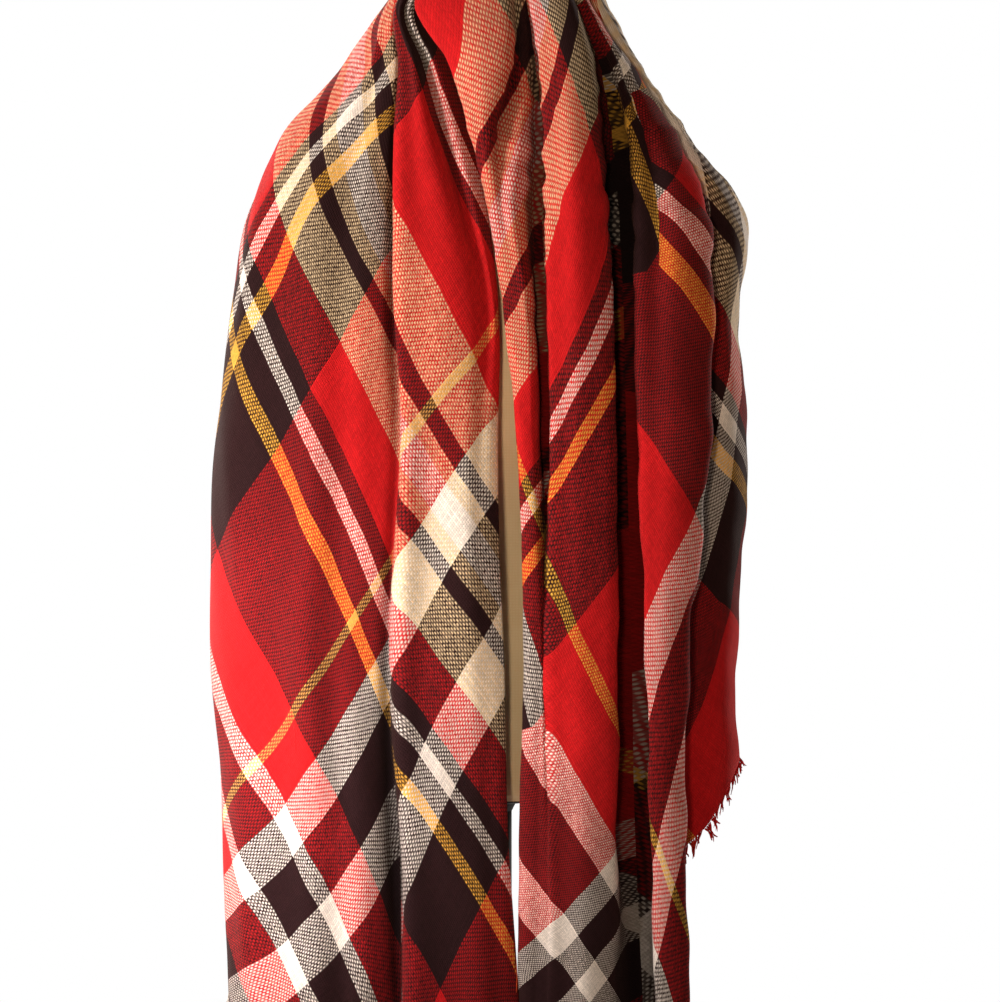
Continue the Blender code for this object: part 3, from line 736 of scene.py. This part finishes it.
def tartan_material():
    """Acrylic blanket cloth, a plain weave of thick, soft yarns that were dyed before weaving.

    Two colours that cross give the eye a speckle, one that crosses itself stays plain, and all of
    it is matt and slightly furry. It is counted in whole yarns, so that each stripe ends at one.
    """
    material, tree, shader = new_material("acrylic_plain_weave", Roughness=0.95, Sheen_Weight=0.05,
                                          Sheen_Roughness=0.5, Specular_IOR_Level=0.12,
                                          Sheen_Tint=linear("FFB8A8"))
    weave = add_node(tree, "UVMap", output="UV", uv_map="weave")
    warp_yarn, warp, warp_off, warp_wave = yarn_count(tree, weave, 0, 0.0)
    weft_yarn, weft, weft_off, weft_wave = yarn_count(tree, weave, 1, 7.0)
    warp_colour, weft_colour = warp_and_weft_colours(tree, warp, weft)
    warp_tone = add_node(tree, "RGBToBW", (warp_colour,))
    weft_tone = add_node(tree, "RGBToBW", (weft_colour,))
    paler = add_node(tree, "Math", (warp_tone, weft_tone), operation="SUBTRACT")
    tone = add_node(tree, "Math", (warp_tone, weft_tone), operation="MAXIMUM")

    # Each set rises over the other at every second crossing, and falls off to both sides of its
    # yarns. The paler of two is the thinner one: it falls off faster.
    skew = add_node(tree, "MapRange", (paler, -TONE_STEP, TONE_STEP, -YARN_SKEW, YARN_SKEW),
                    **SMOOTH)
    contrast = add_node(tree, "MapRange", (tone, DARK, PALE, *SKEW_SHARE), **SMOOTH)
    thinner = add_node(tree, "Math", (skew, contrast), operation="MULTIPLY")
    warp_curve = add_node(tree, "Math", (thinner, YARN_FALL), operation="ADD")
    weft_curve = add_node(tree, "Math", (YARN_FALL, thinner), operation="SUBTRACT")
    warp_side = add_node(tree, "Math", (warp_off, warp_off), operation="MULTIPLY")
    weft_side = add_node(tree, "Math", (weft_off, weft_off), operation="MULTIPLY")
    warp_fall = add_node(tree, "Math", (warp_side, warp_curve), operation="MULTIPLY")
    weft_fall = add_node(tree, "Math", (weft_side, weft_curve), operation="MULTIPLY")
    crossing = add_node(tree, "Math", (warp_wave, weft_wave), operation="MULTIPLY")
    fall = add_node(tree, "Math", (warp_fall, weft_fall), operation="SUBTRACT")
    rise = add_node(tree, "Math", (crossing, fall), operation="SUBTRACT")

    # How much the eye sees of the warp at a spot: soft yarns mix, pale ones on dark ones least, the
    # darker of two covers more, and each float covers a little more or less than the next.
    over = add_node(tree, "MapRange", (rise, -0.75, 0.75, -1.0, 1.0), **SMOOTH)
    reach = add_node(tree, "MapRange", (tone, DARK, PALE, *WEAVE_SHARE), **SMOOTH)
    by_weave = add_node(tree, "Math", (over, reach), operation="MULTIPLY")
    float_place = add_node(tree, "CombineXYZ", (warp_yarn, weft_yarn))
    float_hum = add_node(tree, "TexWhiteNoise", {"Vector": float_place}, "Value",
                         noise_dimensions="2D")
    by_float = add_node(tree, "MapRange", (float_hum, 0.0, 1.0, -FLOAT_HUM, FLOAT_HUM))
    cover = add_node(tree, "Math", (by_weave, by_float), operation="ADD")
    darker = add_node(tree, "MapRange", (paler, -TONE_STEP, TONE_STEP, 1.0, -1.0), **SMOOTH)
    strength = add_node(tree, "MapRange", (tone, DARK, PALE, *DARK_SHARE), **SMOOTH)
    lean = add_node(tree, "Math", (darker, strength, 0.5), operation="MULTIPLY_ADD")
    warp_up = add_node(tree, "Math", (cover, lean), operation="ADD")
    colour = add_node(tree, "Mix", {0: warp_up, 6: weft_colour, 7: warp_colour}, **BLEND)

    # Painted shade in the gaps between the yarns' round forms with a faint painted highlight on their
    # tops, painted shade at the bottom of narrow grooves, and tones from loose fibre, uneven dye and
    # wear.
    falls = add_node(tree, "Math", (warp_fall, weft_fall), operation="ADD")
    half_fall = add_node(tree, "Math", (falls, 0.5), operation="MULTIPLY")
    height = add_node(tree, "Math", (rise,), operation="ABSOLUTE")
    round_form = add_node(tree, "Math", (height, half_fall), operation="SUBTRACT")
    fibre = add_node(tree, "TexNoise", {"Vector": weave, "Scale": WEAVE_SPAN / (FIBRE_LENGTH * MM),
                                        "Detail": 3.0})
    wear = add_node(tree, "TexNoise", {"Vector": weave, "Scale": WEAVE_SPAN / (WEAR_LENGTH * MM),
                                       "Detail": 2.0})
    warp_dye = add_node(tree, "TexWhiteNoise", {"W": warp_yarn}, "Value", noise_dimensions="1D")
    weft_dye = add_node(tree, "TexWhiteNoise", {"W": weft_yarn}, "Value", noise_dimensions="1D")
    dye = add_node(tree, "Mix", {0: warp_up, 6: weft_dye, 7: warp_dye}, **BLEND)
    # Painted shade: the cloth's colour is darkened at the bottom of narrow grooves, beyond what the
    # lamps do.
    hollow = add_node(tree, "Attribute", output="Fac", attribute_name="hollow")
    # Painted shade: darker where each yarn's round form falls off into the gaps beside it, a touch
    # lighter on its top.
    shade = add_node(tree, "MapRange", (round_form, -0.6, 0.6, 0.72, 1.05), **SMOOTH)
    for pattern, low, high, to_low, to_high, curve in (
            (fibre, 0.3, 0.7, 0.88, 1.12, "LINEAR"),
            (dye, 0.0, 1.0, 0.86, 1.10, "LINEAR"),
            (wear, 0.3, 0.7, 0.88, 1.06, "SMOOTHSTEP"),
            (float_hum, 0.0, 1.0, 0.9, 1.1, "LINEAR"),
            (hollow, 0.0, 1.0, 1.0, GROOVE_SHADE, "SMOOTHSTEP")):
        part = add_node(tree, "MapRange", (pattern, low, high, to_low, to_high),
                        interpolation_type=curve)
        shade = add_node(tree, "Math", (shade, part), operation="MULTIPLY")
    shaded = add_node(tree, "VectorMath", {0: colour, "Scale": shade}, operation="SCALE")
    relief = add_node(tree, "Math", (fibre, 0.6, round_form), operation="MULTIPLY_ADD")
    finish_surface(tree, shader, shaded, relief, 0.5, 0.6 * MM)
    return material


LINEN_THREAD = 1.208        # millimetres between threads: twice as coarse as real, so that it shows
LINEN_SLUB = 16.67          # millimetres of a thicker stretch of thread


def linen_material():
    """Unbleached linen, woven plain and stretched over the torso: a warm, dry cream with a fine
    grain of threads and uneven, slubby tones."""
    material, tree, shader = new_material("linen_cover", Roughness=0.9, Sheen_Weight=0.15)
    place = add_node(tree, "TexCoord", output="Object")
    threads = [add_node(tree, "TexWave", {"Vector": place, "Scale": WAVE_SPAN / (LINEN_THREAD * MM),
                                          "Distortion": 1.5}, "Fac", bands_direction=direction)
               for direction in ("Z", "X")]
    grain = add_node(tree, "Math", threads, operation="MULTIPLY")
    slub = add_node(tree, "TexNoise", {"Vector": place, "Scale": 1 / (LINEN_SLUB * MM), "Detail": 3.0})
    base = add_node(tree, "Mix", {0: slub, 6: linear("EED09C"), 7: linear("F8E2B8")}, **BLEND)
    woven = add_node(tree, "Mix", {0: grain, 6: base, 7: linear("FFF0D0")}, **BLEND)
    finish_surface(tree, shader, woven, grain, 0.3, 0.4 * MM)
    return material


WALNUT_RING = 11.22         # millimetres between the rings of the grain
WALNUT_PORE = 2.38          # millimetres of a pore: coarser than real, so that it shows


def walnut_material():
    """Walnut, turned and oiled: dark brown rings, short dark pores and a soft shine."""
    material, tree, shader = new_material("oiled_walnut", Roughness=0.38, Coat_Weight=0.25)
    place = add_node(tree, "TexCoord", output="Object")
    rings = add_node(tree, "TexWave", {"Vector": place, "Scale": WAVE_SPAN / (WALNUT_RING * MM),
                                       "Distortion": 6.0, "Detail": 3.0, "Detail Scale": 2.0}, "Fac")
    pores = add_node(tree, "TexNoise", {"Vector": place, "Scale": 1 / (WALNUT_PORE * MM),
                                        "Detail": 2.0})
    grain = add_node(tree, "Mix", {0: rings, 6: linear("3F2314"), 7: linear("74482A")}, **BLEND)
    pore_share = add_node(tree, "MapRange", (pores, 0.55, 0.7, 0.0, 0.5), **SMOOTH)
    colour = add_node(tree, "Mix", {0: pore_share, 6: grain, 7: linear("23120A")}, **BLEND)
    finish_surface(tree, shader, colour, pores, 0.12, 0.3 * MM)
    return material


POWDER_GRAIN = 1.11         # millimetres of a bump in the powder coat: coarser than real
POWDER_PATCH = 71.4         # millimetres of a patch of its uneven gloss


def steel_material():
    """Powder-coated steel: a dull black skin with an even, fine orange peel and a patchy gloss."""
    material, tree, shader = new_material("powder_coated_steel", Metallic=0.35, Coat_Weight=0.1)
    place = add_node(tree, "TexCoord", output="Object")
    powder = add_node(tree, "TexNoise", {"Vector": place, "Scale": 1 / (POWDER_GRAIN * MM),
                                         "Detail": 2.0})
    wear = add_node(tree, "TexNoise", {"Vector": place, "Scale": 1 / (POWDER_PATCH * MM),
                                       "Detail": 4.0})
    colour = add_node(tree, "Mix", {0: wear, 6: linear("141416"), 7: linear("26272A")}, **BLEND)
    gloss = add_node(tree, "MapRange", (wear, 0.3, 0.7, 0.38, 0.55), **SMOOTH)
    tree.links.new(gloss, shader.inputs["Roughness"])
    finish_surface(tree, shader, colour, powder, 0.18, 0.3 * MM)
    return material


FLOOR_PATCH = 333           # millimetres of a patch of its tone


def floor_material():
    """Painted board: a plain, matt, nearly white floor with barely uneven tones."""
    material, tree, shader = new_material("painted_board", Roughness=0.95)
    place = add_node(tree, "TexCoord", output="Object")
    patches = add_node(tree, "TexNoise", {"Vector": place, "Scale": 1 / (FLOOR_PATCH * MM),
                                          "Detail": 2.0})
    tone = add_node(tree, "Mix", {0: patches, 6: linear("F3F3F3"), 7: linear("F7F7F7")}, **BLEND)
    tree.links.new(tone, shader.inputs["Base Color"])
    return material


# ---------------------------------------------------------------- pieces
def add_piece(name, mesh, material, nodes):
    piece = bpy.data.objects.new(name, mesh)
    mesh.materials.append(material)
    bpy.context.scene.collection.objects.link(piece)
    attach(piece, "root")
    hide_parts(*nodes)
    return piece


def add_cloth(name, grid, hollow, fields, first, last, material):
    """One stretch of the sheet, its weave laid on it panel by panel."""
    rows, columns = len(grid), last - first + 1
    points = grid[:, first:last + 1].reshape(-1, 3)
    faces = [(r * columns + c, r * columns + c + 1, (r + 1) * columns + c + 1, (r + 1) * columns + c)
             for r in range(rows - 1) for c in range(columns - 1)]
    mesh = bpy.data.meshes.new(name)
    mesh.from_pydata(points.tolist(), [], faces)
    weave = np.empty((rows - 1, columns - 1, 4, 2))
    for start, end, reach, places in fields:
        low, high = max(start, first), min(end, last)
        if low >= high:
            continue
        part = places[:reach + 1, low - start:high - start + 1]
        corners = (part[:-1, :-1], part[:-1, 1:], part[1:, 1:], part[1:, :-1])
        weave[:reach, low - first:high - first] = np.stack(corners, axis=2)
    layer = mesh.uv_layers.new(name="weave")
    layer.uv.foreach_set("vector", (weave / UV_UNITS).ravel())
    # The groove depths, which the cloth's material turns into painted shade.
    depths = mesh.attributes.new("hollow", "FLOAT", "POINT")
    depths.data.foreach_set("value", hollow[:, first:last + 1].ravel())
    mesh.shade_smooth()
    cloth = add_piece(name + "_cloth", mesh, material, [name])
    wall = cloth.modifiers.new("wall", "SOLIDIFY")
    wall.thickness = CLOTH_THICKNESS
    wall.offset = 0.0
    return cloth


def hem_places(fields, columns):
    """Weave places along the hem, one for each column."""
    places = np.zeros((columns, 2))
    for start, end, reach, panel in fields:
        if reach == len(panel) - 1:
            places[start:end + 1] = panel[-1]
    return places


def add_strand(mesh, layer, middles, radii, along, out, places):
    """One loose yarn: a three-sided, slightly twisted cord through the given middles."""
    rings = []
    for i, (middle, radius) in enumerate(zip(middles, radii)):
        turns = [STRAND_TURN * k + STRAND_TWIST * i for k in range(3)]
        rings.append([mesh.verts.new(middle + radius * (math.cos(t) * along + math.sin(t) * out))
                      for t in turns])
    sides = [(upper[k], upper[(k + 1) % 3], lower[(k + 1) % 3], lower[k])
             for upper, lower in zip(rings, rings[1:]) for k in range(3)]
    uv = places / UV_UNITS
    for corners in sides + [rings[-1], rings[0][::-1]]:
        face = mesh.faces.new(corners)
        face.smooth = True
        for loop in face.loops:
            loop[layer].uv = uv


def add_loose_ends(mesh, layer, grid, places, rng):
    """A few long yarns that have worked loose from the left tail's inner edge and hang off it."""
    column = first_column("left_edge")
    along, out = np.array([1.0, 0.0, 0.0]), np.array([0.0, -1.0, 0.0])
    for _ in range(LOOSE_ENDS):
        height = NECK_TOP - rng.uniform(*LOOSE_DROPS)
        row = int(np.argmin(np.abs(grid[:, column, 2] - height)))
        length = rng.uniform(0.020, 0.034)
        lean = rng.uniform(-0.25, 0.1)
        bow = rng.uniform(-0.003, 0.003)
        root = grid[row, column] + out * LOOSE_GAP
        heading = np.array([lean, -0.06, -1.0])
        shares = np.linspace(0.0, 1.0, 7)
        middles = [root + length * share * heading + bow * math.sin(math.pi * share) * along
                   for share in shares]
        radii = LOOSE_RADIUS * (1.0 - 0.4 * shares)
        add_strand(mesh, layer, middles, radii, along, out, places[row, column])


def add_fringe(name, grid, places, first, last, material, rng, loose_places=None):
    """Eyelash fringe: the cut ends of the yarns, in small tufts that lean together and curl."""
    hem = grid[-1, first:last + 1]
    fall = unit(hem - grid[-3, first:last + 1])
    run = np.gradient(hem, axis=0)
    places = places[first:last + 1]
    steps = np.linalg.norm(np.diff(hem, axis=0), axis=1)
    lengths = np.concatenate([[0.0], np.cumsum(steps)])
    count = int(lengths[-1] / THREAD_PITCH)
    mesh = bmesh.new()
    layer = mesh.loops.layers.uv.new("weave")

    def at(values, where):
        return np.array([np.interp(where, lengths, column) for column in values.T])

    # A tuft leans to one side and draws its threads together. Each then bends and curls by itself.
    for i in range(count):
        where = lengths[-1] * (i + rng.uniform(0.2, 0.8)) / count
        if i % THREADS_IN_TUFT == 0:
            tuft = lengths[-1] * (i + THREADS_IN_TUFT / 2) / count
            lean = rng.uniform(-0.55, 0.55, 3)
            tuft_length = THREAD_LENGTH * rng.uniform(0.75, 1.25)
        down, along = at(fall, where), unit(at(run, where))
        out = np.cross(along, down)
        root = at(hem, where) - down * HELD_LENGTH
        gather = (tuft - where) * rng.uniform(0.6, 1.0)
        heading = unit(down + lean[0] * along + 0.6 * lean[1] * out)
        length = tuft_length * rng.uniform(0.7, 1.1)
        bend = rng.uniform(-0.004, 0.004) * along + rng.uniform(-0.003, 0.003) * out
        curl, turn = rng.uniform(0.0003, 0.0009), rng.uniform(0.0, 6.3)
        middles, radii = [], []
        for share in (0.0, 0.2, 0.4, 0.6, 0.8, 1.0):
            spin = turn + 9.0 * share
            middle = root + heading * (length * share + HELD_LENGTH)
            middle = middle + along * gather * min(share * 1.6, 1.0) + bend * share * share
            middles.append(middle + curl * share * (math.sin(spin) * along + math.cos(spin) * out))
            radii.append(THREAD_RADIUS * (1.0 - 0.5 * share ** 3))
        add_strand(mesh, layer, middles, radii, along, out, at(places, where))
    if loose_places is not None:
        add_loose_ends(mesh, layer, grid, loose_places, rng)
    bmesh.ops.recalc_face_normals(mesh, faces=mesh.faces)
    finished = bpy.data.meshes.new(name)
    mesh.to_mesh(finished)
    mesh.free()
    return add_piece(name + "_fringe_threads", finished, material, [name + "_fringe"])


def finish_form(materials):
    """Gives each solid of the form and its stand its material."""
    for node, material in materials.items():
        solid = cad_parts[node].data
        solid.materials.clear()
        solid.materials.append(material)


# ---------------------------------------------------------------- the studio
# Lamps: name, place, the point that each looks at, size, power in watts, colour, spread in degrees.
LAMPS = (
    ("key", (-1.8, -1.0, 1.6), (-0.10, 0.0, 1.25), (0.5, 0.6), 6.0, "FFF6EE", 58),
    ("side", (-1.7, -2.3, 0.9), (-0.25, 0.0, 0.86), (0.3, 0.3), 1.25, "FFF4F0", 13),
    ("fill", (2.0, -2.6, 1.3), (FORM_X, 0.0, 1.05), (1.2, 1.2), 1.1, "FFDDB8", 90),
    ("front", (-0.4, -3.6, 1.25), (-0.02, 0.0, 1.25), (0.25, 0.25), 1.5, "FFE6C8", 34),
    ("back_left", (-1.6, 2.6, 1.9), (FORM_X, 0.0, 1.1), (1.0, 1.0), 26, "FFF8F0", 90),
    ("back_right", (2.1, 2.2, 1.7), (FORM_X, 0.0, 1.1), (1.0, 1.0), 20, "FFF8F0", 90),
)
ROOM_GLOW = 0.06            # strength of the even light from all round
SENSOR_WIDTH = 36.0         # millimetres
VIEW_WIDTH = 1000           # units of the front chart from side to side of the camera's view


def add_floor(material):
    """A pale round floor under the stand."""
    bpy.ops.object.select_all(action="DESELECT")
    bpy.ops.mesh.primitive_circle_add(vertices=96, radius=FLOOR_RADIUS, fill_type="NGON")
    floor = bpy.context.object
    floor.name = "floor"
    floor.data.materials.append(material)


def add_lamp(name, place, target, size, power, colour, spread):
    light = bpy.data.lights.new(name, "AREA")
    light.shape = "RECTANGLE"
    light.size, light.size_y = size
    light.energy = power
    light.color = linear(colour)[:3]
    light.spread = math.radians(spread)
    lamp = bpy.data.objects.new(name, light)
    lamp.location = place
    lamp.visible_camera = False
    lamp.rotation_euler = (Vector(target) - Vector(place)).to_track_quat("-Z", "Y").to_euler()
    bpy.context.scene.collection.objects.link(lamp)


def add_room():
    """A faint even light from all round, and plain white behind everything that the camera sees."""
    world = bpy.data.worlds.new("studio")
    world.use_nodes = True
    tree = world.node_tree
    glow = tree.nodes["Background"]
    glow.inputs["Color"].default_value = linear("FFF4E8")
    glow.inputs["Strength"].default_value = ROOM_GLOW
    white = add_node(tree, "Background", {"Color": linear("FFFFFF"), "Strength": 1.0})
    seen = add_node(tree, "LightPath", output="Is Camera Ray")
    backdrop = add_node(tree, "MixShader", (seen, glow.outputs[0], white))
    tree.links.new(backdrop, tree.nodes["World Output"].inputs["Surface"])
    bpy.context.scene.world = world
    bpy.context.scene.view_settings.view_transform = "Standard"


def add_camera():
    camera = bpy.data.cameras.new("camera")
    camera.sensor_fit = "HORIZONTAL"
    camera.sensor_width = SENSOR_WIDTH
    camera.lens = SENSOR_WIDTH * CAMERA_DISTANCE / (VIEW_WIDTH * CHART_UNIT)
    viewer = bpy.data.objects.new("camera", camera)
    viewer.location = (FORM_X, FRONT_PLANE - CAMERA_DISTANCE, CAMERA_HEIGHT)
    viewer.rotation_euler = (math.pi / 2, 0.0, 0.0)
    bpy.context.scene.collection.objects.link(viewer)
    bpy.context.scene.camera = viewer


def main():
    rng = np.random.default_rng(7)
    tartan = tartan_material()
    plain, grid = drape_grid()
    fields = sett_places(plain)
    hollow = hollows(grid)
    hem = hem_places(fields, grid.shape[1])
    for name, first, last in STRETCHES:
        start, end = first_column(first), first_column(last)
        cloth = add_cloth(name, grid, hollow, fields, start, end, tartan)
        loose_places = fields[0][3] if name == "left_tail" else None
        fringe = add_fringe(name, grid, hem, start, end, tartan, rng, loose_places)
    steel = steel_material()
    finish_form({"form_torso": linen_material(), "neck_cap": walnut_material(), "pole": steel,
                 "base": steel})
    add_floor(floor_material())
    for lamp in LAMPS:
        add_lamp(*lamp)
    add_room()
    add_camera()


main()
